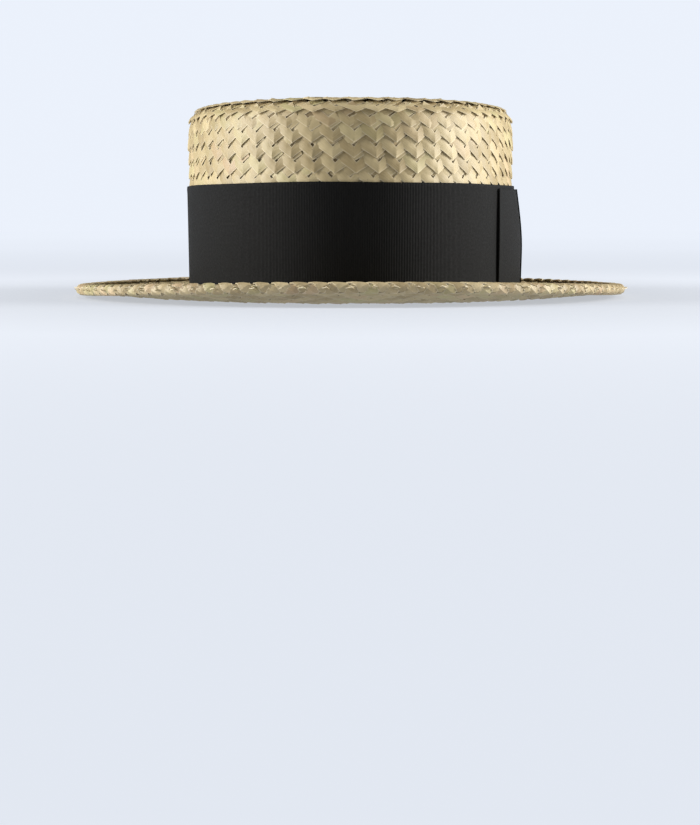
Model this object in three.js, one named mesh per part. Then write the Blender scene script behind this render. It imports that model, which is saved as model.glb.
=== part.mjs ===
// Straw boater hat: a stiff flat-topped oval hat of sewn straw braid with a ribbon and a flat side bow.
// Millimetres, +Z up, the front of the hat faces -Y and the wearer's left is +X.
// The hat lies brim down: the ring of brim round the head opening is the plane z = 0.
import * as THREE from "three";

const AROUND = 80; // facets round every oval
const GAP = 0.3; // air left between two pieces that touch on the real hat

// Head opening: half width, half length, and the power of its oval (2 is an ellipse).
const OPENING = { a: 79.5, b: 99.3, power: 2.16, y: -0.7 };

// Brim, measured over the braid that is folded round its edge.
const RIM = { a: 138.5, b: 147, power: 2.1, y: 0 };
const BRIM_THICK = 3;
const BRIM_FLAT = 14; // width of the level ring round the opening, at the sides
const BRIM_TONGUE = 1.4; // thinned edge of the brim inside the folded braid
const RIM_LIFT = 2.93; // mean height of the rim's underside
const RIM_TIP = 2.08; // how much the front lifts above that, and the back stays below it
const RIM_SADDLE = 1.46; // how much front and back both lift, and the sides drop
const LIFT_POWER = 1.6;

// Folded edge braid.
const EDGE_DEEP = 5.6;
const EDGE_THICK = 4.2;
const EDGE_WALL = 1.1;

// Crown, outside of the straw above the ribbon.
const CROWN_FOOT = BRIM_THICK + GAP;
const CROWN_HEIGHT = 94;
const CROWN_BASE = { a: 82, b: 101.9, power: 2.13, y: OPENING.y };
const CROWN_TOP = { a: 83.1, b: 103.5, power: 2.05, y: OPENING.y };
const CROWN_CORNER = 8.5;
const CROWN_WALL = 2.7; // braid rows overlap, so the side is two rows thick
const CROWN_TIP_WALL = 2.3;
const TIP_RINGS = [0.62, 0.25]; // shares of the tip's radius that carry a ring of points

// Ribbon round the crown: its face is level with the straw above it, which it presses in.
const BAND_BOTTOM = 3.7;
const BAND_TOP = 55.2;
const BAND_WALL = 1;
const BAND_STEP = 1.8; // height over which the straw comes out again above the ribbon

// Leather sweatband inside.
const SWEAT_BOTTOM = 1.2;
const SWEAT_TOP = 38;
const SWEAT_WALL = 1.1;

// Flat bow on the wearer's left. Angles are degrees round the oval from +X, minus is forward.
const BOW_FRONT = -35;
const BOW_REAR = 28;
const BOW_BOTTOM = 4.7;
const BOW_TOP = 53;
const BOW_WALL = 0.7;
const BOW_STAND = 1.8; // how far its face stands off the ribbon at the ends and along the top
const BOW_SWELL = 2.2; // and how much more beside the knot
const BOW_STEPS = 14;
const BOW_LEVELS = 5;
const KNOT_AT = -3;
const KNOT_HALF = 4.5;
const KNOT_WALL = 0.8;
const KNOT_STEPS = 3;

const mix = (from, to, share) => from + (to - from) * share;
const radians = (degrees) => (degrees * Math.PI) / 180;
const turns = (i) => (2 * Math.PI * i) / AROUND;

// An oval between two others, then grown by `out` on every side.
function between(first, second, share, out = 0) {
  return {
    a: mix(first.a, second.a, share) + out,
    b: mix(first.b, second.b, share) + out,
    power: mix(first.power, second.power, share),
    y: mix(first.y, second.y, share),
  };
}

function ovalPoint(oval, angle, z) {
  const bend = (value) => Math.sign(value) * Math.abs(value) ** (2 / oval.power);
  return [oval.a * bend(Math.cos(angle)), oval.y + oval.b * bend(Math.sin(angle)), z];
}

// The crown's outside at a height, grown by `out`.
function crownOval(z, out) {
  const share = (z - CROWN_FOOT) / (CROWN_HEIGHT - CROWN_CORNER - CROWN_FOOT);
  return between(CROWN_BASE, CROWN_TOP, Math.min(1, share), out);
}

// Height of the rim's underside: up at the front, low at the sides.
function rimLift(angle) {
  return RIM_LIFT - RIM_TIP * Math.sin(angle) - RIM_SADDLE * Math.cos(2 * angle);
}

// ---- surfaces ----

function solid(name, points, faces, color, roughness) {
  const geometry = new THREE.BufferGeometry();
  geometry.setAttribute("position", new THREE.Float32BufferAttribute(points.flat(), 3));
  geometry.setIndex(faces.flat());
  geometry.computeVertexNormals();
  const material = new THREE.MeshStandardMaterial({ color, roughness });
  const mesh = new THREE.Mesh(geometry, material);
  mesh.name = name;
  return mesh;
}

// Faces between rings of `count` points each; ring r starts at r * count.
function ringFaces(rings, count, closeRings, closeAround) {
  const faces = [];
  const lastRing = closeRings ? rings : rings - 1;
  const lastPoint = closeAround ? count : count - 1;
  for (let r = 0; r < lastRing; r += 1) {
    const next = (r + 1) % rings;
    for (let i = 0; i < lastPoint; i += 1) {
      const j = (i + 1) % count;
      const [p, q] = [r * count + i, r * count + j];
      const [s, t] = [next * count + i, next * count + j];
      faces.push([p, q, t], [p, t, s]);
    }
  }
  return faces;
}

// A closed ring round the hat. Each section is an oval and a height, as a number or by angle.
// The sections go round the ring's cut: out along the underside, back along the top.
function hatRing(name, sections, color, roughness) {
  const points = sections.flatMap(([oval, height]) =>
    Array.from({ length: AROUND }, (_, i) => {
      const angle = turns(i);
      return ovalPoint(oval, angle, typeof height === "number" ? height : height(angle));
    }),
  );
  return solid(name, points, ringFaces(sections.length, AROUND, true, true), color, roughness);
}

// A cup: rings from the centre outside, down, under the foot and up inside to the centre again.
function hatCup(name, sections, color, roughness) {
  const points = sections.flatMap(([oval, height]) =>
    Array.from({ length: AROUND }, (_, i) => ovalPoint(oval, turns(i), height)),
  );
  const faces = ringFaces(sections.length, AROUND, false, true).map(([p, q, s]) => [p, s, q]);
  const [outerCentre, innerCentre] = [points.length, points.length + 1];
  points.push([0, CROWN_BASE.y, sections[0][1]], [0, CROWN_BASE.y, sections.at(-1)[1]]);
  const lastRing = (sections.length - 1) * AROUND;
  for (let i = 0; i < AROUND; i += 1) {
    const j = (i + 1) % AROUND;
    faces.push([outerCentre, i, j], [innerCentre, lastRing + j, lastRing + i]);
  }
  return solid(name, points, faces, color, roughness);
}

// ---- brim and its folded edge braid ----

function brim() {
  const flatShare = BRIM_FLAT / (RIM.a - OPENING.a);
  const body = BRIM_THICK / 2;
  const proud = (EDGE_THICK - BRIM_THICK) / 2;
  const rise = (share) => Math.max(0, (share - flatShare) / (1 - flatShare)) ** LIFT_POWER;
  const sheet = (share, up) => [
    between(OPENING, RIM, share),
    (angle) => (rimLift(angle) + proud) * rise(share) + up,
  ];
  const edge = (inset, up) => [between(RIM, RIM, 0, -inset), (angle) => rimLift(angle) + up];
  const shares = [flatShare, mix(flatShare, 1, 0.3), mix(flatShare, 1, 0.62)];
  const root = EDGE_DEEP + GAP;
  const tongueLow = (EDGE_THICK - BRIM_TONGUE) / 2;
  return hatRing(
    "brim",
    [
      [between(OPENING, OPENING, 0, 0.8), 0],
      ...shares.map((share) => sheet(share, 0)),
      edge(root, proud),
      edge(root, tongueLow),
      edge(EDGE_WALL + GAP, tongueLow),
      edge(EDGE_WALL + GAP, tongueLow + BRIM_TONGUE),
      edge(root, tongueLow + BRIM_TONGUE),
      edge(root, proud + BRIM_THICK),
      ...shares.toReversed().map((share) => sheet(share, BRIM_THICK)),
      [between(OPENING, OPENING, 0, 0.8), BRIM_THICK],
      [between(OPENING, OPENING, 0), body],
    ],
    0xc9b98c,
    0.6,
  );
}

function rimBinding() {
  const edge = (inset, up) => [between(RIM, RIM, 0, -inset), (angle) => rimLift(angle) + up];
  const [deep, thick, wall] = [EDGE_DEEP, EDGE_THICK, EDGE_WALL];
  return hatRing(
    "rim_binding",
    [
      edge(deep, 0),
      edge(1.6, 0),
      edge(0.4, 0.8),
      edge(0, thick / 2),
      edge(0.4, thick - 0.8),
      edge(1.6, thick),
      edge(deep, thick),
      edge(deep, thick - wall),
      edge(wall, thick - wall),
      edge(wall, wall),
      edge(deep, wall),
    ],
    0xb9a878,
    0.6,
  );
}

// ---- crown, ribbon and sweatband ----

function crown() {
  const pressed = -(BAND_WALL + GAP);
  const cornerFoot = CROWN_HEIGHT - CROWN_CORNER;
  const corner = (radius, inset, top) =>
    [0, 30, 60, 90].map((degrees) => [
      crownOval(cornerFoot, radius * Math.cos(radians(degrees)) - radius - inset),
      top - radius + radius * Math.sin(radians(degrees)),
    ]);
  const flatTip = (inset, z) =>
    TIP_RINGS.map((share) => {
      const oval = crownOval(cornerFoot, -inset);
      return [{ ...oval, a: oval.a * share, b: oval.b * share }, z];
    });
  const tipInside = CROWN_HEIGHT - CROWN_TIP_WALL;
  const innerCorner = CROWN_CORNER - CROWN_TIP_WALL;
  return hatCup(
    "crown",
    [
      ...flatTip(CROWN_CORNER, CROWN_HEIGHT).toReversed(),
      ...corner(CROWN_CORNER, 0, CROWN_HEIGHT).toReversed(),
      [crownOval(BAND_TOP + BAND_STEP, 0), BAND_TOP + BAND_STEP],
      [crownOval(BAND_TOP, pressed), BAND_TOP],
      [crownOval(CROWN_FOOT, pressed), CROWN_FOOT],
      [crownOval(CROWN_FOOT, -CROWN_WALL), CROWN_FOOT],
      ...corner(innerCorner, CROWN_WALL, tipInside),
      ...flatTip(CROWN_CORNER + CROWN_WALL, tipInside),
    ],
    0xd8caa0,
    0.6,
  );
}

// A plain band between two heights: `face` is where its outside lies from the crown's outside.
function wallBand(name, bottom, top, face, wall, color, roughness) {
  return hatRing(
    name,
    [
      [crownOval(bottom, face - wall), bottom],
      [crownOval(bottom, face), bottom],
      [crownOval(top, face), top],
      [crownOval(top, face - wall), top],
    ],
    color,
    roughness,
  );
}

// ---- bow ----

// How far the bow's face stands off the ribbon, by angle and height: full beside the knot and
// low on the crown, flat at its two ends and along its top edge.
function bowFace(degrees, z) {
  const reach = degrees < KNOT_AT ? KNOT_AT - BOW_FRONT : BOW_REAR - KNOT_AT;
  const along = Math.cos((Math.PI / 2) * Math.min(1, Math.abs(degrees - KNOT_AT) / reach));
  const down = Math.min(1, (BOW_TOP - z) / (BOW_TOP - BOW_BOTTOM) / 0.62);
  return BOW_STAND + BOW_SWELL * along * Math.sin((Math.PI / 2) * Math.max(0, down));
}

const bowPoint = (degrees, out, z) => ovalPoint(crownOval(z, out), radians(degrees), z);

// One length of ribbon sewn to a flattened loop: out along its face, back against the ribbon.
function bowLoop() {
  const angles = Array.from({ length: BOW_STEPS + 1 }, (_, i) =>
    mix(BOW_FRONT, BOW_REAR, i / BOW_STEPS),
  );
  const turnEnd = (degrees, way) => (z) => [
    bowPoint(degrees + way * 0.5, (bowFace(degrees, z) + GAP) / 2, z),
    bowPoint(degrees + way * 0.1, (bowFace(degrees, z) + GAP) / 2, z),
  ];
  const stations = [
    ...angles.map((degrees) => (z) => [
      bowPoint(degrees, bowFace(degrees, z), z),
      bowPoint(degrees, bowFace(degrees, z) - BOW_WALL, z),
    ]),
    turnEnd(BOW_REAR, 1),
    ...angles.toReversed().map((degrees) => (z) => [
      bowPoint(degrees, GAP, z),
      bowPoint(degrees, GAP + BOW_WALL, z),
    ]),
    turnEnd(BOW_FRONT, -1),
  ];
  const heights = Array.from({ length: BOW_LEVELS + 1 }, (_, i) =>
    mix(BOW_BOTTOM, BOW_TOP, i / BOW_LEVELS),
  );
  const points = [
    ...heights.flatMap((z) => stations.map((at) => at(z)[0])),
    ...heights.toReversed().flatMap((z) => stations.map((at) => at(z)[1])),
  ];
  const faces = ringFaces(2 * heights.length, stations.length, true, true);
  return solid("bow_loop", points, faces, 0x1c1c1b, 0.8);
}

// The strip folded over the middle of the bow, its ends turned in behind it.
function bowKnot() {
  const lowest = BOW_BOTTOM - GAP;
  const highest = BOW_TOP + GAP;
  const heights = Array.from({ length: BOW_LEVELS + 1 }, (_, i) =>
    mix(BOW_BOTTOM, BOW_TOP, i / BOW_LEVELS),
  );
  const face = (degrees, z, off) => bowFace(degrees, z) + GAP + off;
  const cut = (degrees) => [
    [GAP, lowest - KNOT_WALL],
    [face(degrees, lowest, KNOT_WALL), lowest - KNOT_WALL],
    ...heights.map((z) => [face(degrees, z, KNOT_WALL), z]),
    [face(degrees, highest, KNOT_WALL), highest + KNOT_WALL],
    [GAP, highest + KNOT_WALL],
    [GAP, highest],
    [face(degrees, highest, 0), highest],
    ...heights.toReversed().map((z) => [face(degrees, z, 0), z]),
    [face(degrees, lowest, 0), lowest],
    [GAP, lowest],
  ];
  const angles = Array.from({ length: KNOT_STEPS + 1 }, (_, i) =>
    mix(KNOT_AT - KNOT_HALF, KNOT_AT + KNOT_HALF, i / KNOT_STEPS),
  );
  const count = cut(0).length;
  const points = angles.flatMap((degrees) =>
    cut(degrees).map(([out, z]) => bowPoint(degrees, out, z)),
  );
  const faces = ringFaces(angles.length, count, false, true).map(([p, q, s]) => [p, s, q]);
  const last = (angles.length - 1) * count;
  for (let i = 0; i < count / 2 - 1; i += 1) {
    const [p, q, s, t] = [i, i + 1, count - 2 - i, count - 1 - i];
    faces.push([p, q, s], [p, s, t]);
    faces.push([last + p, last + s, last + q], [last + p, last + t, last + s]);
  }
  return solid("bow_knot", points, faces, 0x161616, 0.8);
}

const group = new THREE.Group();
group.name = "straw_boater_hat";
group.add(
  crown(),
  brim(),
  rimBinding(),
  wallBand("hat_band", BAND_BOTTOM, BAND_TOP, 0, BAND_WALL, 0x1a1a19, 0.8),
  wallBand(
    "sweatband",
    SWEAT_BOTTOM,
    SWEAT_TOP,
    -CROWN_WALL - GAP,
    SWEAT_WALL,
    0x151312,
    0.5,
  ),
  bowLoop(),
  bowKnot(),
);

export default group;
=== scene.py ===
# %% [markdown]
# # A straw boater hat
# A boater is sewn from straw braid: a flat plait a finger wide, stitched row over row into an
# oval tip, down the crown's side and out across the brim. A black ribbon with a flat bow hides
# the lower half of the crown, and a leather sweatband lines it. The solids of the hat are
# already packed, so this lesson adds what they can't have: the plaited straw, the ribbed
# ribbon, the leather, and the light that shows them.

import math

import bmesh
import bpy
import numpy as np
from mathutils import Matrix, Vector


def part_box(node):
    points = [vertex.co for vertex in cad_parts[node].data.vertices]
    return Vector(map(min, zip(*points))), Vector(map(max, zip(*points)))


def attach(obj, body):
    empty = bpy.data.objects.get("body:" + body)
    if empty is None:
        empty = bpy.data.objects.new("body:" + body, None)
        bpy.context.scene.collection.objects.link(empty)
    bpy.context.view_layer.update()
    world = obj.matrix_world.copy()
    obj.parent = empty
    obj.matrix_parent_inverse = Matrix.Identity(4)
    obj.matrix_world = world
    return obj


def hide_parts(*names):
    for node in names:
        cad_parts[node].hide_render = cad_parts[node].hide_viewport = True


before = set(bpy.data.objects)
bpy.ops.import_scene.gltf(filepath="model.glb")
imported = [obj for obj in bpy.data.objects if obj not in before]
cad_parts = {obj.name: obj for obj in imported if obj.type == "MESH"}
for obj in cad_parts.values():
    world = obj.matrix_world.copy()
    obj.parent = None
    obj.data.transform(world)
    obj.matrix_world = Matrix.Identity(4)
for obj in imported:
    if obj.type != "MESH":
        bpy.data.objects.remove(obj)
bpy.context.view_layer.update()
MM = 0.001

# %% [markdown]
# ## The sizes of the hat
# The hat's ovals are superellipses: an ellipse whose corners are a little fuller. Their half
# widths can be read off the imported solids, so the straw is laid on the hat that is there and
# not on a second set of numbers. Only what the boxes can't tell is written down here.


# %% Sizes read from the solids
def half_sizes(node):
    """Half width, half length and middle of a node's box, in metres."""
    low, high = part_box(node)
    return (high.x - low.x) / 2, (high.y - low.y) / 2, (high.y + low.y) / 2


rim_a, rim_b, rim_y = half_sizes("rim_binding")
crown_a, crown_b, crown_y = half_sizes("crown")
band_low, band_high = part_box("hat_band")
sweat_low, sweat_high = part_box("sweatband")
crown_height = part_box("crown")[1].z
opening_a, opening_b = 79.5 * MM, 99.3 * MM
foot_a, foot_b = 82.0 * MM, 101.9 * MM
foot_z, corner = 3.3 * MM, 8.5 * MM
print("rim", rim_a, rim_b, "crown", crown_a, crown_b, "ribbon top", band_high.z)


# %% The ovals
def oval(angle, a, b, power, y):
    """Points of a superellipse. Every argument but y may be an array."""
    bend = lambda value: np.sign(value) * np.abs(value) ** (2 / power)
    return np.stack([a * bend(np.cos(angle)), y + b * bend(np.sin(angle))], axis=-1)


def crown_side(angle, z, out):
    """Points on the crown's wall at height z, moved out by `out`."""
    share = np.clip((z - foot_z) / (crown_height - corner - foot_z), -0.1, 1)
    a = foot_a + (crown_a - foot_a) * share + out
    b = foot_b + (crown_b - foot_b) * share + out
    power = 2.13 + (2.05 - 2.13) * share
    flat = oval(angle, a, b, power, crown_y)
    return np.concatenate([flat, np.broadcast_to(z, angle.shape)[..., None]], axis=-1)


def rim_lift(angle):
    """Height of the underside of the brim's edge: up at the front, low at the sides."""
    return (2.93 - 2.08 * np.sin(angle) - 1.46 * np.cos(2 * angle)) * MM


# %% [markdown]
# ## Surfaces to lay braid on
# Straw braid follows a surface along two directions: round the hat, and from row to row. So
# each surface is a function of an angle and a distance. On the crown the distance runs from
# the top edge of the ribbon up the side, over the shoulder and in across the flat tip. On the
# brim it runs from the opening out to the rim. Anything that needs a place, a direction or a
# curvature can then ask the same function.


# %% The crown and brim as functions
def crown_surface(angle, climb, out=0.0):
    """climb is the way up the side from the foot, over the shoulder and in across the tip."""
    side = crown_height - corner - foot_z
    arc = corner * math.pi / 2
    if climb <= side:
        return crown_side(angle, np.full_like(angle, foot_z + climb), out)
    turn = min((climb - side) / corner, math.pi / 2)
    inset = corner * (1 - math.cos(turn)) + max(0.0, climb - side - arc)
    inset -= out * math.cos(turn)
    z = crown_height - corner + (corner + out) * math.sin(turn)
    flat = oval(angle, crown_a - inset, crown_b - inset, 2.05, crown_y)
    return np.concatenate([flat, np.full_like(flat[..., :1], z)], axis=-1)


def brim_surface(angle, reach, up=0.0):
    """reach is the way out from the opening, as a share of the brim's width at the sides."""
    share = reach / (rim_a - opening_a)
    a = opening_a + (rim_a - opening_a) * share
    b = opening_b + (rim_b - opening_b) * share
    y = crown_y + (rim_y - crown_y) * share
    flat = oval(angle, a, b, 2.16 - 0.06 * share, y)
    flat_share = 14 * MM / (rim_a - opening_a)
    rise = max(0.0, (share - flat_share) / (1 - flat_share)) ** 1.6
    z = (rim_lift(angle) + 0.6 * MM) * rise + up
    return np.concatenate([flat, z[..., None]], axis=-1)


# %% [markdown]
# ## One way to write nodes
# Node trees are built in Python here, for the straw's geometry and for every material. A bare
# tree script is long and hard to read, so one small class wraps a socket. Adding or multiplying
# two wrapped sockets adds the Math node that does it, and `make` adds any other node: its
# type, its settings, then the values or links of its sockets.


# %% A socket that takes part in sums
class Wire:
    """A node's output. Arithmetic on it adds Math or Vector Math nodes to its tree."""

    def __init__(self, tree, socket):
        self.tree, self.socket = tree, socket

    def make(self, kind, settings=None, inputs=None, output=0):
        return make(self.tree, kind, settings, inputs, output)

    def sum(self, operation, *others):
        values = [self, *others]
        vector = any(isinstance(v, Wire) and v.socket.type == "VECTOR" for v in values)
        if vector:
            return self.make("ShaderNodeVectorMath", {"operation": operation}, values)
        return self.make("ShaderNodeMath", {"operation": operation}, values)

    def times(self, other):
        """A vector scaled by a number or by a number's wire."""
        inputs = {0: self, "Scale": other}
        return self.make("ShaderNodeVectorMath", {"operation": "SCALE"}, inputs)

    def axis(self, name):
        return self.make("ShaderNodeSeparateXYZ", None, [self], name)

    def __add__(self, other):
        return self.sum("ADD", other)

    def __sub__(self, other):
        return self.sum("SUBTRACT", other)

    def __mul__(self, other):
        return self.sum("MULTIPLY", other)

    def __truediv__(self, other):
        return self.sum("DIVIDE", other)

    def __rsub__(self, other):
        return self.make("ShaderNodeMath", {"operation": "SUBTRACT"}, [other, self])

    __radd__ = __add__
    __rmul__ = __mul__

    def fn(self, operation, *others):
        return self.make("ShaderNodeMath", {"operation": operation}, [self, *others])


def make(tree, kind, settings=None, inputs=None, output=0):
    """Adds a node: settings first, then the values or links of its sockets."""
    node = tree.nodes.new(kind)
    for name, value in (settings or {}).items():
        if name == "stops":
            ramp = node.color_ramp
            while len(ramp.elements) < len(value):
                ramp.elements.new(0.5)
            for element, (place, colour) in zip(ramp.elements, value):
                element.position, element.color = place, (*colour, 1)
        else:
            setattr(node, name, value)
    pairs = inputs.items() if isinstance(inputs, dict) else enumerate(inputs or [])
    for key, value in pairs:
        if isinstance(value, Wire):
            tree.links.new(value.socket, node.inputs[key])
        elif value is not None:
            node.inputs[key].default_value = value
    return Wire(tree, node.outputs[output])


# %% [markdown]
# ## Laying strands with Geometry Nodes
# A braid is one strand shape repeated hundreds of times, each copy bent to the surface under
# it. Placing copies in a Python loop works, but a Geometry Nodes tree says it once: put a
# strand on every guide point, make the copies real, then move each corner by a formula. The
# guide points carry what the formula needs: where the strand sits, which ways are along,
# up and out, and how sharply the surface curves. The same tree sews the crown, the tip and
# both faces of the brim.

# %% The tree that sews braid rows
GUIDE_VECTORS = ("foot", "along", "up", "out", "curve", "size")


def new_geometry_tree(name):
    tree = bpy.data.node_groups.new(name, "GeometryNodeTree")
    tree.is_modifier = True
    tree.interface.new_socket("Geometry", in_out="INPUT", socket_type="NodeSocketGeometry")
    tree.interface.new_socket("Geometry", in_out="OUTPUT", socket_type="NodeSocketGeometry")
    return tree


def named_input(tree, name, kind, value=None):
    socket = tree.interface.new_socket(name, in_out="INPUT", socket_type=kind)
    if value is not None:
        socket.default_value = value
    return socket


def attribute(tree, name, kind="FLOAT_VECTOR"):
    settings = {"data_type": kind}
    return make(tree, "GeometryNodeInputNamedAttribute", settings, {"Name": name})


def strands_on_guides(tree):
    """The shared first half: a strand on each guide point, made real, with a random tone."""
    named_input(tree, "Strand", "NodeSocketObject")
    named_input(tree, "Straw", "NodeSocketMaterial")
    named_input(tree, "Seed", "NodeSocketInt", 1)
    tree.nodes.new("NodeGroupInput")
    group = lambda name: Wire(tree, tree.nodes["Group Input"].outputs[name])
    strand = make(
        tree,
        "GeometryNodeObjectInfo",
        {"transform_space": "ORIGINAL"},
        {"Object": group("Strand")},
        "Geometry",
    )
    place = make(tree, "GeometryNodeInputPosition")
    strand = make(
        tree,
        "GeometryNodeStoreNamedAttribute",
        {"data_type": "FLOAT_VECTOR", "domain": "POINT"},
        {"Geometry": strand, "Name": "local", "Value": place},
    )
    chance = make(
        tree,
        "FunctionNodeRandomValue",
        {"data_type": "FLOAT_VECTOR"},
        {"Min": (0, 0, 0), "Max": (1, 1, 1), "Seed": group("Seed")},
    )
    guides = make(
        tree,
        "GeometryNodeStoreNamedAttribute",
        {"data_type": "FLOAT_VECTOR", "domain": "POINT"},
        {"Geometry": group("Geometry"), "Name": "chance", "Value": chance},
    )
    copies = make(
        tree, "GeometryNodeInstanceOnPoints", None, {"Points": guides, "Instance": strand}
    )
    return make(tree, "GeometryNodeRealizeInstances", None, {"Geometry": copies}), group


def finish_tree(tree, geometry, group, position):
    moved = make(
        tree, "GeometryNodeSetPosition", None, {"Geometry": geometry, "Position": position}
    )
    dressed = make(
        tree,
        "GeometryNodeSetMaterial",
        None,
        {"Geometry": moved, "Material": group("Straw")},
    )
    end = tree.nodes.new("NodeGroupOutput")
    tree.links.new(dressed.socket, end.inputs["Geometry"])
    print(tree.name, "has", len(tree.nodes), "nodes")
    return tree


def sewing_tree():
    tree = new_geometry_tree("sew_braid_rows")
    real, group = strands_on_guides(tree)
    foot, along, up, out, curve, size = (attribute(tree, n) for n in GUIDE_VECTORS)
    local = attribute(tree, "local") * size
    x, y, z = (local.axis(n) for n in "XYZ")
    round_hat, in_plane, row_to_row = (curve.axis(n) for n in "XYZ")
    reach = x * (1 + y * in_plane + z * round_hat)
    rise = y - x * x * in_plane * 0.5
    drop = x * x * round_hat * 0.5 + y * y * row_to_row * 0.5
    place = foot + along.times(reach) + up.times(rise) + out.times(z - drop)
    return finish_tree(tree, real, group, place)


sew_braid = sewing_tree()

# %% [markdown]
# The edge of the brim needs another bend. There the braid is folded in half lengthwise over
# the cut edge, so its middle goes round a small half circle and its two halves lie flat on the
# top and the underside.


# %% The tree that folds braid over an edge
def folding_tree():
    tree = new_geometry_tree("fold_edge_braid")
    real, group = strands_on_guides(tree)
    named_input(tree, "Fold radius", "NodeSocketFloat", 2 * MM)
    radius = group("Fold radius")
    foot, along, up, out, curve, size = (attribute(tree, n) for n in GUIDE_VECTORS)
    local = attribute(tree, "local") * size
    x, y, z = (local.axis(n) for n in "XYZ")
    quarter = math.pi / 2
    turn = (y / radius).fn("MINIMUM", quarter).fn("MAXIMUM", -quarter)
    straight = (y - turn * radius).fn("ABSOLUTE")
    outward = (radius + z) * turn.fn("COSINE") - straight
    reach = x * (1 + outward * curve.axis("X"))
    level = outward - x * x * curve.axis("X") * 0.5
    height = (radius + z) * turn.fn("SINE")
    place = foot + along.times(reach) + up.times(height) + out.times(level)
    return finish_tree(tree, real, group, place)


fold_braid = folding_tree()

# %% [markdown]
# ## One strand of straw
# Seen from outside, each strand of the plait slants down to the row's lower edge, turns there
# with a pinched crease, and climbs again. On its way down it passes under one strand and over
# the next, and on its way up it does the same. Those turns are the teeth of the row.
# The shape is drawn once as a short table: for each station along the strand, the outer
# corner, the inner corner and how high it rides. Between the corners the straw is domed,
# because a flattened stem is thicker in the middle. A few dozen faces are enough, as the
# fibres are left to the material.

# %% The strand's stations
PITCH = 9.6 * MM  # one tooth to the next
ROW = 7.0 * MM  # one row to the next
STATIONS = [  # outer corner x, y; inner corner x, y; ride; in mm
    (-13.0, 9.3, -10.2, 13.9, -0.60),
    (-10.2, 7.3, -7.5, 12.1, -0.50),
    (-7.9, 5.7, -5.5, 10.7, -0.25),
    (-5.4, 3.9, -3.5, 9.1, 0.40),
    (-2.7, 2.0, -1.8, 7.2, 0.52),
    (-0.55, 0.4, -0.4, 5.6, 0.34),
    (0.0, 0.0, 0.0, 5.2, 0.48),
    (0.55, 0.4, 0.4, 5.6, 0.26),
    (2.7, 2.0, 1.8, 7.2, 0.05),
    (5.2, 3.8, 3.4, 9.0, -0.30),
    (7.6, 5.5, 5.2, 10.5, 0.30),
    (10.2, 7.3, 7.5, 12.1, 0.42),
    (13.0, 9.3, 10.2, 13.9, 0.40),
]
DOME = (0.0, 0.30, 0.32, 0.02)  # outer edge to inner edge
STRAW_THICK = 0.42
TILT = 0.145  # each row leans out at its lower edge, over the row below


def tilt_at(y):
    return 1.05 - TILT * y


def strand_mesh(name, stations, dome, tilt, thick=STRAW_THICK):
    """A closed strand: a domed face of four corners a station and a plain back of two."""
    verts, grain, faces = [], [], []
    wide = len(dome)
    travelled, last = 0.0, None
    for ox, oy, ix, iy, ride in stations:
        middle = np.array([(ox + ix) / 2, (oy + iy) / 2])
        travelled += 0.0 if last is None else float(np.linalg.norm(middle - last))
        last = middle
        for k in list(range(wide)) + [0, wide - 1]:
            share = k / (wide - 1)
            x, y = ox + (ix - ox) * share, oy + (iy - oy) * share
            lift = dome[k] if len(verts) % (wide + 2) < wide else -thick
            verts.append((x * MM, y * MM, (tilt(y) + ride + lift) * MM))
            grain.append((travelled * MM, (share - 0.5) * 5 * MM, 0.0))
    row = wide + 2
    for s in range(len(stations) - 1):
        p, q = s * row, (s + 1) * row
        for k in range(wide - 1):
            faces.append((p + k, q + k, q + k + 1, p + k + 1))
        faces.append((p + wide - 1, q + wide - 1, q + wide + 1, p + wide + 1))
        faces.append((p + wide + 1, q + wide + 1, q + wide, p + wide))
        faces.append((p + wide, q + wide, q, p))
    end = (len(stations) - 1) * row
    loop = [*range(wide), wide + 1, wide]
    faces.append(tuple(loop))
    faces.append(tuple(end + k for k in reversed(loop)))
    mesh = bpy.data.meshes.new(name)
    mesh.from_pydata(verts, [], faces)
    store = mesh.attributes.new("grain", "FLOAT_VECTOR", "POINT")
    store.data.foreach_set("vector", np.array(grain, np.float32).ravel())
    print(name, len(faces), "faces")
    strand = bpy.data.objects.new(name, mesh)
    bpy.context.scene.collection.objects.link(strand)
    return strand


row_strand = strand_mesh("row_strand", STATIONS, DOME, tilt_at)

# %% [markdown]
# ## Guides: where each strand sits
# A row is an oval cut into equal steps. At each step the surface function is asked for the
# point and for its neighbours, and simple differences give the directions and the curvatures.
# Rows start at random places, as the braid's turns never line up from row to row, and every
# strand is a little off in size, angle and lift, because straw is hand work.

# %% Guide points
chance = np.random.default_rng(7)
STRAND_REACH = 13 * MM  # how far a strand climbs from its tooth
OVAL_STEPS = 2881  # fine enough to measure travel along an oval


def unit(v):
    return v / np.maximum(np.linalg.norm(v, axis=-1, keepdims=True), 1e-12)


def dot(a, b):
    return (a * b).sum(-1, keepdims=True)


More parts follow.
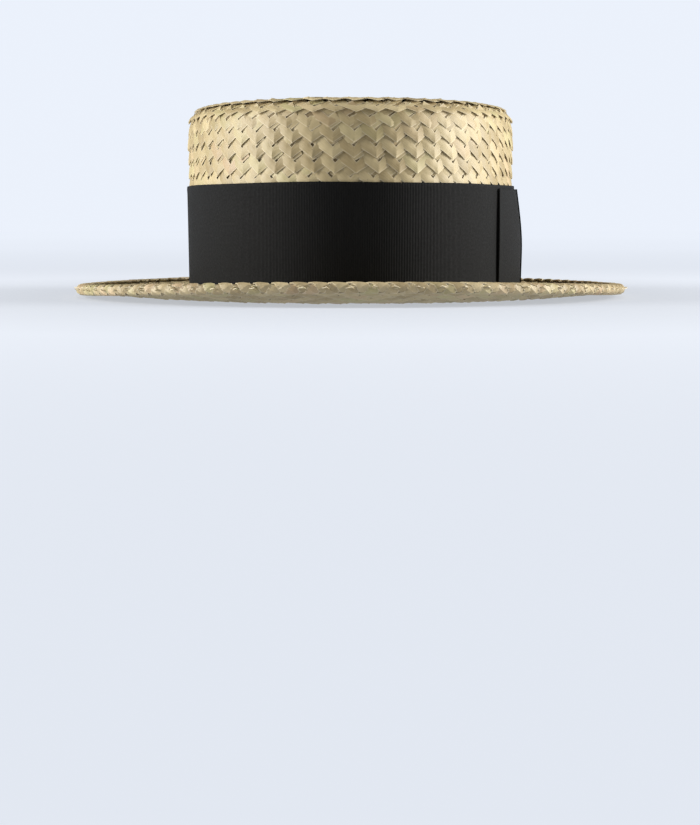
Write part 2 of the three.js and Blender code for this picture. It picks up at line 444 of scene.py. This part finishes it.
def row_guides(surface, where, teeth_way, thick=1.0, high=1.0, step=PITCH):
    """Guide values for one row. teeth_way is +1 where the teeth point back along the surface."""
    dense = np.linspace(0, 2 * np.pi, OVAL_STEPS)
    line = surface(dense, where)
    travel = np.concatenate([[0], np.cumsum(np.linalg.norm(np.diff(line, axis=0), axis=1))])
    count = max(6, round(travel[-1] / step))
    stretch = travel[-1] / count / step
    start = chance.random()
    steps = (np.arange(count) + start + chance.normal(0, 0.035, count)) / count
    at = lambda s: np.interp(np.mod(s, 1) * travel[-1], travel, dense)
    angle = at(steps)
    h = 0.4 * step / travel[-1]
    here, ahead, behind = (surface(a, where) for a in (angle, at(steps + h), at(steps - h)))
    near, reach = 0.8 * MM * teeth_way, STRAND_REACH * high
    along = unit(ahead - behind)
    up = surface(angle, where + near) - surface(angle, where - near)
    up = unit(up - dot(up, along) * along)
    out = np.cross(along, up)
    half = 0.4 * step
    bow = (ahead + behind - 2 * here) / 2
    curve_round = -2 * dot(bow, out) / half**2
    curve_plane = -2 * dot(bow, up) / half**2
    end = surface(angle, where + reach * teeth_way) - here
    rise = dot(end, up)
    curve_row = -2 * dot(end, out) / rise**2
    shorter = rise[:, 0] / reach
    swing = chance.normal(0, 0.03, (count, 1))
    along, up = unit(along + swing * up), unit(up - swing * along)
    size = np.stack(
        [
            stretch * chance.normal(1, 0.02, count),
            high * shorter * chance.normal(1, 0.025, count),
            thick * chance.normal(1, 0.06, count),
        ],
        axis=-1,
    )
    here = here + out * chance.normal(0, 0.05 * MM, (count, 1))
    curve = np.concatenate([curve_round, curve_plane, curve_row], axis=-1)
    return np.concatenate([here, along, up, out, curve, size], axis=-1)


def sew(name, rows, strand, tree, seed, straw, **extra):
    """Runs a braid tree over guide rows and returns a plain, joined mesh piece."""
    values = np.concatenate(rows)
    guide = bpy.data.meshes.new(name + "_guide")
    guide.from_pydata(values[:, :3].tolist(), [], [])
    for i, key in enumerate(GUIDE_VECTORS):
        store = guide.attributes.new(key, "FLOAT_VECTOR", "POINT")
        store.data.foreach_set("vector", values[:, 3 * i : 3 * i + 3].astype(np.float32).ravel())
    holder = bpy.data.objects.new(name + "_guide", guide)
    bpy.context.scene.collection.objects.link(holder)
    modifier = holder.modifiers.new("sew", "NODES")
    modifier.node_group = tree
    for item in tree.interface.items_tree:
        wanted = {"Strand": strand, "Straw": straw, "Seed": seed, **extra}
        if item.item_type == "SOCKET" and item.in_out == "INPUT" and item.name in wanted:
            modifier[item.identifier] = wanted[item.name]
    graph = bpy.context.evaluated_depsgraph_get()
    mesh = bpy.data.meshes.new_from_object(
        holder.evaluated_get(graph), preserve_all_data_layers=True, depsgraph=graph
    )
    bpy.data.objects.remove(holder)
    bpy.data.meshes.remove(guide)
    for key in [*GUIDE_VECTORS, "local"]:
        if key in mesh.attributes:
            mesh.attributes.remove(mesh.attributes[key])
    mesh.name = name
    mesh.shade_smooth()
    mesh.set_sharp_from_angle(angle=math.radians(38))
    piece = bpy.data.objects.new(name, mesh)
    bpy.context.scene.collection.objects.link(piece)
    mesh.calc_loop_triangles()
    print(name, len(values), "strands,", len(mesh.loop_triangles), "triangles")
    return piece

# %% [markdown]
# ## Finishes
# Straw is split, flattened wheat stem: satin, with fine lengthwise fibres, each stem its own
# shade, now and then pinkish or green. The tree above gave every strand three random numbers
# and a coordinate along and across it, so one material can shade them all differently.


# %% Materials: helpers
def new_material(name):
    material = bpy.data.materials.new(name)
    material.use_nodes = True
    tree = material.node_tree
    tree.nodes.clear()
    shader = tree.nodes.new("ShaderNodeBsdfPrincipled")
    end = tree.nodes.new("ShaderNodeOutputMaterial")
    tree.links.new(shader.outputs[0], end.inputs["Surface"])
    return material, tree, shader


def feed(tree, shader, **wires):
    for name, wire in wires.items():
        socket = shader.inputs[name.replace("_", " ")]
        if isinstance(wire, Wire):
            tree.links.new(wire.socket, socket)
        else:
            socket.default_value = wire


def shader_attribute(tree, name, output="Vector"):
    return make(tree, "ShaderNodeAttribute", {"attribute_name": name}, None, output)


def blend_colour(share, first, second, kind="MIX"):
    settings = {"data_type": "RGBA", "blend_type": kind}
    return make(share.tree, "ShaderNodeMix", settings, {0: share, 6: first, 7: second}, 2)


def ramp(value, *stops):
    colours = [(place, (level,) * 3) for place, level in stops]
    return make(value.tree, "ShaderNodeValToRGB", {"stops": colours}, [value])


def noise(tree, vector, scale, detail=2.0, rough=0.5):
    inputs = {"Vector": vector, "Scale": scale, "Detail": detail, "Roughness": rough}
    return make(tree, "ShaderNodeTexNoise", None, inputs)


def bump(tree, height, strength, distance):
    inputs = {"Height": height, "Strength": strength, "Distance": distance}
    return make(tree, "ShaderNodeBump", None, inputs, "Normal")


# %% Straw
def straw_material(name, pale, deep, red=(0.62, 0.40, 0.26), green=(0.42, 0.42, 0.18)):
    material, tree, shader = new_material(name)
    grain = shader_attribute(tree, "grain")
    luck = shader_attribute(tree, "chance")
    shift = luck.times(0.37)
    stretch = make(
        tree, "ShaderNodeMapping", None, {"Vector": grain + shift, "Scale": (160, 2600, 1)}
    )
    fibre = noise(tree, stretch, 1.0, 3.0, 0.6)
    blotch = noise(tree, grain + shift, 190.0, 2.0)
    tone = luck.axis("X") * 0.55 + fibre * 0.55 + blotch * 0.35 - 0.28
    colour = blend_colour(ramp(tone, (0.1, 0.0), (0.85, 1.0)), (*deep, 1), (*pale, 1))
    colour = blend_colour(ramp(luck.axis("Y"), (0.84, 0.0), (0.99, 0.25)), colour, (*red, 1))
    colour = blend_colour(ramp(luck.axis("Z"), (0.80, 0.0), (0.99, 0.35)), colour, (*green, 1))
    # Painted highlight: near both edges each strand is blended towards pale straw, as if its
    # folded rim caught the light.
    across = (grain.axis("Y") / (2.5 * MM)).fn("ABSOLUTE")
    painted_light_tone = ramp(across, (0.80, 0.0), (1.0, 0.4))
    colour = blend_colour(painted_light_tone, colour, (0.80, 0.72, 0.53, 1))
    # Painted shade: small pinholes are painted dark brown, as their hollows would look in shadow,
    # and the bump sinks them a little.
    pit = make(
        tree, "ShaderNodeTexVoronoi", None, {"Vector": grain + shift, "Scale": 420.0}
    )
    pinhole_painted_dark = ramp(pit, (0.06, 1.0), (0.11, 0.0)) * ramp(blotch, (0.56, 0.0), (0.60, 1.0))
    colour = blend_colour(pinhole_painted_dark, colour, (0.10, 0.065, 0.03, 1))
    height = fibre * 0.7 + blotch * 0.5 - pinhole_painted_dark
    feed(
        tree,
        shader,
        Base_Color=colour,
        Roughness=ramp(fibre + blotch * 0.5, (0.4, 0.40), (0.95, 0.62)),
        Normal=bump(tree, height, 0.55, 0.22 * MM),
        Specular_IOR_Level=0.55,
    )
    return material


STRAW_PALE, STRAW_DEEP = (0.555, 0.45, 0.245), (0.32, 0.24, 0.112)
straw = straw_material("plaited_straw", STRAW_PALE, STRAW_DEEP)
edge_straw = straw_material("edge_straw", (0.52, 0.42, 0.24), (0.30, 0.225, 0.11))


# %% Straw behind the strands, painted dark as shade
def painted_shade_straw_material():
    material, tree, shader = new_material("straw_backing_painted_shade")
    place = make(tree, "ShaderNodeTexCoord", None, None, "Object")
    grain = noise(tree, place, 700.0, 3.0)
    # Painted shade: the straw behind the strands gets these dark colours for the shadow it lies in
    # between the rows, not for a darker straw.
    colour = blend_colour(grain, (0.16, 0.115, 0.055, 1), (0.27, 0.20, 0.10, 1))
    feed(tree, shader, Base_Color=colour, Roughness=0.8, Normal=bump(tree, grain, 0.5, 0.3 * MM))
    return material


painted_shade_straw = painted_shade_straw_material()

# %% [markdown]
# ## The crown
# Rows are laid from just under the ribbon's top edge, up the side, over the rounded shoulder
# and in across the tip. On the outside each row's teeth point down and lap over the next row,
# so rain would run off. Inside, the same braid shows its other face, so its teeth point up.
# The part of the crown under the ribbon never shows and stays a plain pressed wall.

# %% Crown rows, outside and inside
INSET = 2.05 * MM  # the face of the rows ends up level with the solid crown
side_climb = crown_height - corner - foot_z
tip_start = side_climb + corner * math.pi / 2
tip_end = tip_start + crown_a - corner
first_climb = band_high.z - foot_z - 3.2 * MM
TIP_RAISE = 1.1 * MM  # the tip's rows are pressed flatter, so they may lie a little higher
FULL_ROW = 12 * MM  # rows with less room than this before the centre are made narrower
LAST_ROW = 5 * MM  # no row starts closer to the centre than this
PRESSED, LOOSE = 0.6, 0.82  # relief of the rows over the shoulder, and of the others


def outside(angle, climb):
    share = min(1.0, max(0.0, (climb - side_climb) / (tip_start - side_climb)))
    return crown_surface(angle, climb, -INSET + TIP_RAISE * share)


inside = lambda angle, climb: crown_surface(angle, climb, -3.6 * MM)

crown_rows, climb = [], first_climb
while climb < tip_end - LAST_ROW:
    room = min(1.0, (tip_end - climb) / FULL_ROW)
    relief = PRESSED if side_climb - 8 * MM < climb < tip_start else LOOSE
    crown_rows.append(row_guides(outside, climb, 1, thick=relief, high=room))
    climb += ROW
inner_rows, climb = [], sweat_high.z - foot_z + 3 * MM
while climb < tip_end - LAST_ROW:
    room = min(1.0, max(0.3, (climb - LAST_ROW) / FULL_ROW))
    inner_rows.append(row_guides(inside, climb, -1, thick=0.8, high=room))
    climb += ROW
crown_straw = sew("crown_braid", crown_rows, row_strand, sew_braid, 3, straw)
inner_straw = sew("crown_braid_inside", inner_rows, row_strand, sew_braid, 4, straw)

# %% [markdown]
# ## The brim
# The brim is the same braid in flat rows. Seen from above, each row laps over the one outside
# it. Seen from below it is the other way round, so the teeth point in towards the head and the
# innermost row gives the opening its scalloped edge. The brim is thinner than two loose rows,
# because it is pressed flat and stiffened, so the strands are laid thinner here.

# %% Brim rows, top and underside
BRIM_ROW = 6.7 * MM
brim_wide = rim_a - opening_a
top_face = lambda angle, reach: brim_surface(angle, brim_wide - reach, 2.05 * MM)
under_face = lambda angle, reach: brim_surface(angle, reach, 1.25 * MM)
top_starts = np.arange(2.6 * MM, brim_wide - 8 * MM, BRIM_ROW)
top_rows = [
    row_guides(top_face, start, 1, thick=0.66, high=min(1.0, (brim_wide - start) / (12 * MM)))
    for start in top_starts
]
under_rows = [
    row_guides(under_face, -0.6 * MM + BRIM_ROW * i, 1, thick=0.66)
    for i in range(int((brim_wide - 8 * MM) / BRIM_ROW) + 1)
]
brim_top = sew("brim_braid_top", top_rows, row_strand, sew_braid, 5, straw)
brim_under = sew("brim_braid_underside", under_rows, row_strand, sew_braid, 6, straw)

# %% [markdown]
# ## The folded edge
# A separate plait is folded over the cut edge. Its strands cross at the fold: those that come
# down from the top run over the first strand they meet and under the next, and those that come
# up from below do the same, which draws a zigzag along the rim.

# %% Edge strands and their guides
EDGE_PITCH = 8.6 * MM
EDGE_HALF = 7.3  # mm from the fold to the inner edge of the folded plait
EDGE_STRAND, EDGE_SKEW = 2.35, 1.1  # mm, half a strand's width along and across the fold
slope = 10.5 / (2 * EDGE_HALF)


def edge_stations(lean):
    """A strand that slants across the folded plait; it rides over one strand, then under."""
    rows = []
    for y in (-EDGE_HALF, -5.0, -2.6, -1.0, 0.6, 2.2, 4.4, EDGE_HALF):
        x, over = -lean * y * slope, 0.36 * math.tanh((lean * y + 0.4) / 1.1)
        skew = lean * EDGE_SKEW
        rows.append((x + EDGE_STRAND, y + skew, x - EDGE_STRAND, y - skew, over))
    return rows


EDGE_DOME = (0.0, 0.26, 0.26, 0.0)
down_strand = strand_mesh("edge_strand_down", edge_stations(1), EDGE_DOME, lambda y: 0.3)
up_strand = strand_mesh("edge_strand_up", edge_stations(-1), EDGE_DOME, lambda y: 0.3)
FOLD_RADIUS = 1.75 * MM


def edge_guides(shift):
    angle = np.linspace(0, 2 * np.pi, OVAL_STEPS)
    line = oval(angle, rim_a - 2.25 * MM, rim_b - 2.25 * MM, 2.1, rim_y)
    line = np.concatenate([line, (rim_lift(angle) + 2.1 * MM)[:, None]], axis=-1)
    travel = np.concatenate([[0], np.cumsum(np.linalg.norm(np.diff(line, axis=0), axis=1))])
    count = round(travel[-1] / EDGE_PITCH)
    steps = (np.arange(count) + shift) / count
    at = lambda s: np.stack(
        [np.interp(np.mod(s, 1) * travel[-1], travel, line[:, k]) for k in range(3)], axis=-1
    )
    h = 3 * MM / travel[-1]
    here, ahead, behind = at(steps), at(steps + h), at(steps - h)
    along = unit(ahead - behind)
    up = np.tile([0.0, 0.0, 1.0], (count, 1))
    up = unit(up - dot(up, along) * along)
    out = np.cross(along, up)
    curve = -2 * dot((ahead + behind - 2 * here) / 2, out) / (3 * MM) ** 2
    size = np.stack([chance.normal(1, 0.02, count)] * 2 + [chance.normal(1, 0.05, count)], axis=-1)
    flat = np.zeros((count, 1))
    return np.concatenate([here, along, up, out, np.concatenate([curve, flat, flat], 1), size], -1)


fold = {"Fold radius": FOLD_RADIUS}
edge_plait = [
    sew(name, [edge_guides(shift)], strand, fold_braid, seed, edge_straw, **fold)
    for name, strand, shift, seed in (
        ("edge_plait_down", down_strand, 0.0, 8),
        ("edge_plait_up", up_strand, 0.5, 9),
    )
]

for pattern in (row_strand, down_strand, up_strand):
    bpy.data.objects.remove(pattern)

# %% [markdown]
# ## Thin shells
# Everything left is a thin ring: the wall behind the strands, the ribbon, the sweatband. One
# helper joins rings of points into a closed skin, so each piece is only a list of sections.

# %% Rings joined into a skin
AROUND = 240
ring_angle = np.arange(AROUND) * 2 * np.pi / AROUND


def skin(name, sections, closed=True, loop=True):
    """Joins sections, each a ring of points, to a mesh. closed joins the last to the first."""
    sections = np.array(sections)
    rings, count = sections.shape[:2]
    steps_out = np.arange(rings if closed else rings - 1)
    steps_round = np.arange(count if loop else count - 1)
    p, q = np.meshgrid(steps_out, steps_round, indexing="ij")
    p, q = p.ravel(), q.ravel()
    r, t = (p + 1) % rings, (q + 1) % count
    faces = np.stack([p * count + q, p * count + t, r * count + t, r * count + q], -1).tolist()
    if not closed:
        faces += [list(range(count))[::-1], [(rings - 1) * count + k for k in range(count)]]
    mesh = bpy.data.meshes.new(name)
    mesh.from_pydata(sections.reshape(-1, 3).tolist(), [], faces)
    return finish_skin(name, mesh)


def finish_skin(name, mesh, sharp=40):
    work = bmesh.new()
    work.from_mesh(mesh)
    rims = [edge for edge in work.edges if edge.is_boundary]
    bmesh.ops.holes_fill(work, edges=rims)
    bmesh.ops.recalc_face_normals(work, faces=work.faces)
    work.to_mesh(mesh)
    work.free()
    mesh.shade_smooth()
    mesh.set_sharp_from_angle(angle=math.radians(sharp))
    piece = bpy.data.objects.new(name, mesh)
    bpy.context.scene.collection.objects.link(piece)
    print(name, len(mesh.vertices), "corners")
    return piece


def paint(piece, material):
    piece.data.materials.clear()
    piece.data.materials.append(material)
    return piece


def store_flat(piece, values):
    """Keeps a flat coordinate, along and across the strip, for the material to read."""
    store = piece.data.attributes.new("flat", "FLOAT_VECTOR", "POINT")
    store.data.foreach_set("vector", np.array(values, np.float32).ravel())


# %% Walls behind the strands
WALL_FOOT = 1.7 * MM  # down into the brim's sheet, so that no light comes in under the crown
tip_climbs = np.linspace(side_climb, tip_end - 1.5 * MM, 16)
wall_out = [crown_surface(ring_angle, c, -2.45 * MM) for c in tip_climbs[::-1]]
wall_out += [crown_side(ring_angle, np.full(AROUND, z), out * MM) for z, out in (
    (band_high.z - 2 * MM, -2.45), (band_high.z - 3 * MM, -1.3), (WALL_FOOT, -1.3))]
wall_in = [crown_side(ring_angle, np.full(AROUND, WALL_FOOT), -2.75 * MM)]
wall_in += [crown_surface(ring_angle, c, -3.1 * MM) for c in tip_climbs]
# The wall and the brim's core wear the dark straw above: painted shade seen through the gaps
# between strands.
crown_wall = paint(skin("crown_wall", wall_out + wall_in, closed=False), painted_shade_straw)

reaches = np.linspace(0.9 * MM, brim_wide - 3.6 * MM, 10)
sheet_top = [brim_surface(ring_angle, r, 1.95 * MM) for r in reaches]
sheet_low = [brim_surface(ring_angle, r, 1.35 * MM) for r in reaches[::-1]]
brim_core = paint(skin("brim_core", sheet_top + sheet_low), painted_shade_straw)

# %% [markdown]
# ## The ribbon
# Grosgrain has fine ribs across its width, made by a thick weft, and a firm woven edge. It is
# about half a millimetre thick. The strip is modelled as a closed band with a slightly raised
# edge, and the ribs are bump that follows the strip's own length, so they stay upright and
# even all the way round.

# %% Ribbon material
RIB = 0.78 * MM


def ribbon_material():
    material, tree, shader = new_material("black_grosgrain")
    flat = shader_attribute(tree, "flat")
    along, across = flat.axis("X"), flat.axis("Y")
    wave = (along * (2 * math.pi / RIB)).fn("SINE") * 0.5 + 0.5
    weave = noise(tree, flat, 900.0, 2.0)
    streak = make(tree, "ShaderNodeMapping", None, {"Vector": flat, "Scale": (420, 12, 1)})
    streak = noise(tree, streak, 1.0, 2.0)
    warp = (across * (2 * math.pi / (0.42 * MM))).fn("SINE") * 0.5 + 0.5
    # Painted shade and light: the ribs' wave darkens the colour in the grooves and lightens it on
    # the crests; the weave and streak noise add random tone.
    shade = wave * 0.45 + weave * 0.3 + streak * 0.35
    black, painted_light_tone = (0.0008, 0.0008, 0.0007, 1), (0.0045, 0.0045, 0.0042, 1)
    colour = blend_colour(ramp(shade, (0.25, 0.0), (0.9, 1.0)), black, painted_light_tone)
    height = wave + warp * 0.25 + weave * 0.25
    feed(
        tree,
        shader,
        Base_Color=colour,
        Roughness=ramp(weave, (0.3, 0.55), (0.7, 0.72)),
        Normal=bump(tree, height, 0.5, 0.18 * MM),
    )
    shader.inputs["Sheen Weight"].default_value = 0.08
    shader.inputs["Sheen Roughness"].default_value = 0.35
    shader.inputs["Sheen Tint"].default_value = (0.75, 0.77, 0.8, 1)
    shader.inputs["Specular IOR Level"].default_value = 0.11
    return material


ribbon = ribbon_material()

# %% Ribbon round the crown
RIBBON_THICK = 0.45 * MM
BAND_AROUND = 720
band_angle = np.arange(BAND_AROUND) * 2 * np.pi / BAND_AROUND
band_line = crown_side(band_angle, np.full(BAND_AROUND, 30 * MM), 0)
band_travel = np.concatenate([[0], np.cumsum(np.linalg.norm(np.diff(band_line, axis=0), axis=1))])
wander = 0.16 * MM * np.sin(3 * band_angle + 0.6) + 0.1 * MM * np.sin(7 * band_angle + 2)
BAND_SHARES = (0.0, 0.012, 0.03, 0.07, 0.25, 0.5, 0.75, 0.93, 0.97, 0.988, 1.0)
BAND_EDGE = (0.0, 0.10, 0.12, 0.02, 0.0, 0.0, 0.0, 0.02, 0.12, 0.10, 0.0)


def band_section(share, out):
    z = band_low.z + (band_high.z - band_low.z) * share + wander * share
    return crown_side(band_angle, z, out)


band_sections = [band_section(s, 0.05 * MM + e * MM) for s, e in zip(BAND_SHARES, BAND_EDGE)]
band_sections += [band_section(s, 0.05 * MM - RIBBON_THICK) for s in BAND_SHARES[::-1]]
hat_ribbon = paint(skin("hat_ribbon", band_sections), ribbon)
band_tall = band_high.z - band_low.z
shares = [*BAND_SHARES, *BAND_SHARES[::-1]]
store_flat(hat_ribbon, [(t, s * band_tall, 0) for s in shares for t in band_travel])

# %% [markdown]
# ## The bow
# A boater's bow is flat and tailored: one length of the same ribbon sewn to a loop, pressed
# against the band, and a strip folded over its middle. It sits on the wearer's left. The loop
# lies close along its top edge and stands off lower down, and its front fold lifts a little,
# which leaves the dark slit that is seen from the front.

# %% Bow loop
BOW_FRONT, BOW_REAR, KNOT_AT = -35.0, 28.0, -3.0
BOW_LOW, BOW_HIGH = 4.7 * MM, 53.2 * MM
bow_levels = np.linspace(0, 1, 15)


def bow_face(degrees, share):
    """How far the loop's face stands off the ribbon, in mm; share runs up the bow."""
    reach = (KNOT_AT - BOW_FRONT) if degrees < KNOT_AT else (BOW_REAR - KNOT_AT)
    along = math.cos(math.pi / 2 * min(1.0, abs(degrees - KNOT_AT) / reach))
    down = min(1.0, (1 - share) / 0.62)
    ripple = 0.12 * math.sin(6.0 * share + degrees * 0.12)
    end = 0.35 * math.exp(-abs(degrees - BOW_FRONT) / 2.5) * math.sin(math.pi * share)
    return 1.25 + 2.9 * along * math.sin(math.pi / 2 * down) + ripple * along + end


def bow_back(degrees, share):
    """How far the layer behind stands off: it lifts at the front fold."""
    return 0.18 + 0.42 * math.exp(-abs(degrees - BOW_FRONT) / 2.0)


def on_crown(degrees, z, out):
    return crown_side(np.array([math.radians(degrees)]), np.array([z]), out * MM)[0]


def bow_ring(share, inner):
    """One closed turn of the loop at a height; inner gives the ribbon's inside."""
    z = BOW_LOW + (BOW_HIGH - BOW_LOW) * share
    thick = RIBBON_THICK / MM
    degrees = np.linspace(BOW_FRONT, BOW_REAR, 59)
    front = [on_crown(d, z, bow_face(d, share) - (thick if inner else 0)) for d in degrees]
    back = [on_crown(d, z, bow_back(d, share) + (thick if inner else 0)) for d in degrees[::-1]]
    turns = []
    for end, way in ((BOW_REAR, 1), (BOW_FRONT, -1)):
        high, low = bow_face(end, share), bow_back(end, share)
        middle, half = (high + low) / 2, (high - low) / 2 - (thick if inner else 0)
        bulge = half / 1.8
        turn = [
            on_crown(end + way * bulge * math.sin(a), z, middle + half * math.cos(a) * way)
            for a in np.linspace(0, math.pi, 7)[1:-1]
        ]
        turns.append(turn)
    return np.array([*front, *turns[0], *back, *turns[1]])


bow_sections = [bow_ring(s, False) for s in bow_levels]
bow_sections += [bow_ring(s, True) for s in bow_levels[::-1]]
bow_loop = paint(skin("bow_loop_ribbon", bow_sections), ribbon)
ring = bow_sections[7]
bow_travel = np.concatenate([[0], np.cumsum(np.linalg.norm(np.diff(ring, axis=0), axis=1))])
bow_tall = BOW_HIGH - BOW_LOW
shares = [*bow_levels, *bow_levels[::-1]]
store_flat(bow_loop, [(t, s * bow_tall, 0) for s in shares for t in bow_travel])

# %% Strip over the bow's middle
KNOT_HALF = 4.6
knot_angles = np.linspace(KNOT_AT - KNOT_HALF, KNOT_AT + KNOT_HALF, 13)


def knot_ring(degrees, inner):
    """The strip's turn over the loop at one angle; its ends tuck in behind the bow."""
    thick = 0.5
    off = 0.12 if inner else 0.12 + thick
    squeeze = 0.35 * math.cos(math.pi * (degrees - KNOT_AT) / (2 * KNOT_HALF))
    low, high = BOW_LOW - off * MM, BOW_HIGH + off * MM
    path = [(0.1, low), (bow_face(degrees, 0.0) * 0.6, low)]
    path += [
        (bow_face(degrees, s) + off + squeeze * math.sin(math.pi * s), low + (high - low) * s)
        for s in np.linspace(0, 1, 15)
    ]
    path += [(bow_face(degrees, 1.0) * 0.6, high), (0.1, high)]
    return np.array([on_crown(degrees, z, out) for out, z in path])


knot_sections = [knot_ring(d, False) for d in knot_angles]
knot_sections += [knot_ring(d, True) for d in knot_angles[::-1]]
bow_knot = paint(skin("bow_knot_strip", knot_sections, loop=False), ribbon)
knot_grid = np.array(knot_sections[: len(knot_angles)])
knot_long = float(np.linalg.norm(np.diff(knot_grid[6], axis=0), axis=1).sum())
knot_wide = float(np.linalg.norm(np.diff(knot_grid[:, 9], axis=0), axis=1).sum())

# %% [markdown]
# ## The sweatband
# A strip of dark leather lines the opening, stitched to the straw through its lower edge, which
# is turned over a thin reed. It is the only leather in the hat, and the only smooth piece.

# %% Leather material
def leather_material():
    material, tree, shader = new_material("dark_leather")
    place = make(tree, "ShaderNodeTexCoord", None, None, "Object")
    pebbles = {"Vector": place, "Scale": 900.0}
    cell = make(tree, "ShaderNodeTexVoronoi", {"feature": "DISTANCE_TO_EDGE"}, pebbles)
    cloud = noise(tree, place, 60.0, 3.0)
    colour = blend_colour(cloud, (0.010, 0.008, 0.007, 1), (0.028, 0.022, 0.018, 1))
    height = ramp(cell, (0.0, 0.0), (0.12, 1.0)) + cloud * 0.5
    feed(
        tree,
        shader,
        Base_Color=colour,
        Roughness=ramp(cloud, (0.3, 0.38), (0.7, 0.58)),
        Normal=bump(tree, height, 0.35, 0.12 * MM),
    )
    return material


leather = leather_material()

# %% Sweatband strip
SWEAT = (  # height share, stand-off of the inner face from the CAD face, in mm
    (0.0, -0.5), (0.008, 0.05), (0.03, 0.35), (0.06, 0.45), (0.09, 0.25), (0.12, 0.0),
    (0.3, -0.1), (0.6, 0.05), (0.9, -0.05), (0.985, -0.1), (1.0, -0.35))
sweat_tall = sweat_high.z - sweat_low.z


def sweat_section(share, out, sway):
    z = sweat_low.z + sweat_tall * share
    wave = sway * 0.35 * MM * np.sin(5 * ring_angle + 1.2) * share
    return crown_side(ring_angle, np.full(AROUND, z), out * MM - np.abs(wave))


sweat_sections = [sweat_section(s, -3.05, 0) for s, _ in SWEAT]
sweat_sections += [sweat_section(s, -4.1 - off, 1) for s, off in SWEAT[::-1]]
sweat_strip = paint(skin("sweatband_leather", sweat_sections), leather)

# %% [markdown]
# ## What each piece stands for
# Every piece rides on the hat's one body. The straw, ribbon and leather pieces replace the plain
# solids, which stay behind for collisions. The ribbon and the bow are cloth.

# %% Ride and replace
PIECES = (
    (crown_straw, "straw", "crown"),
    (inner_straw, "straw", None),
    (crown_wall, "straw", None),
    (brim_top, "straw", "brim"),
    (brim_under, "straw", None),
    (brim_core, "straw", None),
    (edge_plait[0], "straw_edge", "rim_binding"),
    (edge_plait[1], "straw_edge", None),
    (hat_ribbon, "ribbon", "hat_band"),
    (bow_loop, "ribbon", "bow_loop"),
    (bow_knot, "ribbon", "bow_knot"),
    (sweat_strip, "leather", "sweatband"),
)
for piece, slot, node in PIECES:
    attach(piece, "root")
    if node:
        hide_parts(node)

# %% [markdown]
# ## Floor, light and camera
# The hat lies on a pale floor that runs back into a pale sky of the same tint. Two large soft
# lights stand left and right, so the front of the crown falls off a little and every tooth of
# the braid throws a small shadow. A weaker one hangs above, for the tip and the brim. The
# camera is low, just above the floor, and a little to the wearer's right.

# %% Floor
PALE = (0.86, 0.91, 1.0)
FLOOR_RADIUS, GLOW_REACH = 14.0, 5.0  # metres


def floor_material():
    """A pale floor that glows: at half strength near the hat, where the glow also lights the brim
    from below, and more towards its far edge, so that it meets the room with no line.
    """
    material, tree, shader = new_material("pale_floor")
    place = make(tree, "ShaderNodeTexCoord", None, None, "Object")
    away = make(tree, "ShaderNodeVectorMath", {"operation": "LENGTH"}, [place], "Value")
    cloud = noise(tree, place, 1.5, 2.0)
    near = blend_colour(cloud, (0.23, 0.24, 0.26, 1), (0.25, 0.26, 0.28, 1))
    share = away / GLOW_REACH
    glow = ramp(share, (0.03, 0.5), (0.08, 0.66), (0.15, 0.86), (0.4, 0.92), (1.0, 0.95))
    fade = ramp(share, (0.07, 0.0), (0.15, 1.0))
    feed(
        tree,
        shader,
        Base_Color=blend_colour(fade, near, (0.01, 0.01, 0.01, 1)),
        Emission_Color=blend_colour(glow, (0, 0, 0, 1), (*PALE, 1)),
        Roughness=0.8,
    )
    shader.inputs["Emission Strength"].default_value = 1.0
    shader.inputs["Specular IOR Level"].default_value = 0.1
    return material


bpy.ops.mesh.primitive_circle_add(vertices=96, radius=FLOOR_RADIUS, fill_type="NGON")
floor = bpy.context.object
floor.name = "floor"
paint(floor, floor_material())

# %% Light
scene = bpy.context.scene
scene.view_settings.view_transform = "Standard"
world = bpy.data.worlds.new("pale_room")
scene.world = world
world.use_nodes = True
air = world.node_tree
air.nodes.clear()
seen_room = make(air, "ShaderNodeBackground", None, {"Color": (*PALE, 1), "Strength": 0.97})
room_light = make(air, "ShaderNodeBackground", None, {"Color": (*PALE, 1), "Strength": 0.20})
looked_at = make(air, "ShaderNodeLightPath", None, None, "Is Camera Ray")
room = make(air, "ShaderNodeMixShader", None, [looked_at, room_light, seen_room])
end = air.nodes.new("ShaderNodeOutputWorld")
air.links.new(room.socket, end.inputs["Surface"])


def soft_light(name, place, target, size, power, colour):
    data = bpy.data.lights.new(name, "AREA")
    data.shape, data.size, data.size_y = "RECTANGLE", size[0], size[1]
    data.energy, data.color = power, colour
    light = bpy.data.objects.new(name, data)
    light.visible_camera = False
    light.location = place
    aim = Vector(target) - Vector(place)
    light.rotation_euler = aim.to_track_quat("-Z", "Y").to_euler()
    scene.collection.objects.link(light)


WARM = (1.0, 0.985, 0.955)
soft_light("left_softbox", (-1.2, -0.12, 0.38), (0, 0, 0.05), (0.6, 0.8), 22, WARM)
soft_light("right_softbox", (1.2, -0.12, 0.38), (0, 0, 0.05), (0.6, 0.8), 25, WARM)
soft_light("top_softbox", (0.0, -0.2, 1.5), (0, 0, 0.05), (1.2, 1.2), 6, WARM)

# %% Camera
DISTANCE, YAW, CAMERA_Z = 0.918, math.radians(2.4), 0.035
LENS, SENSOR = 77.76, 36.0  # mm
PITCH = math.radians(-5.95)
lens = bpy.data.cameras.new("camera")
lens.sensor_width = SENSOR
lens.lens = LENS
camera = bpy.data.objects.new("camera", lens)
camera.location = (-DISTANCE * math.sin(YAW), -DISTANCE * math.cos(YAW), CAMERA_Z)
aim = Vector((math.sin(YAW), math.cos(YAW), math.tan(PITCH)))
camera.rotation_euler = aim.to_track_quat("-Z", "Y").to_euler()
scene.collection.objects.link(camera)
scene.camera = camera
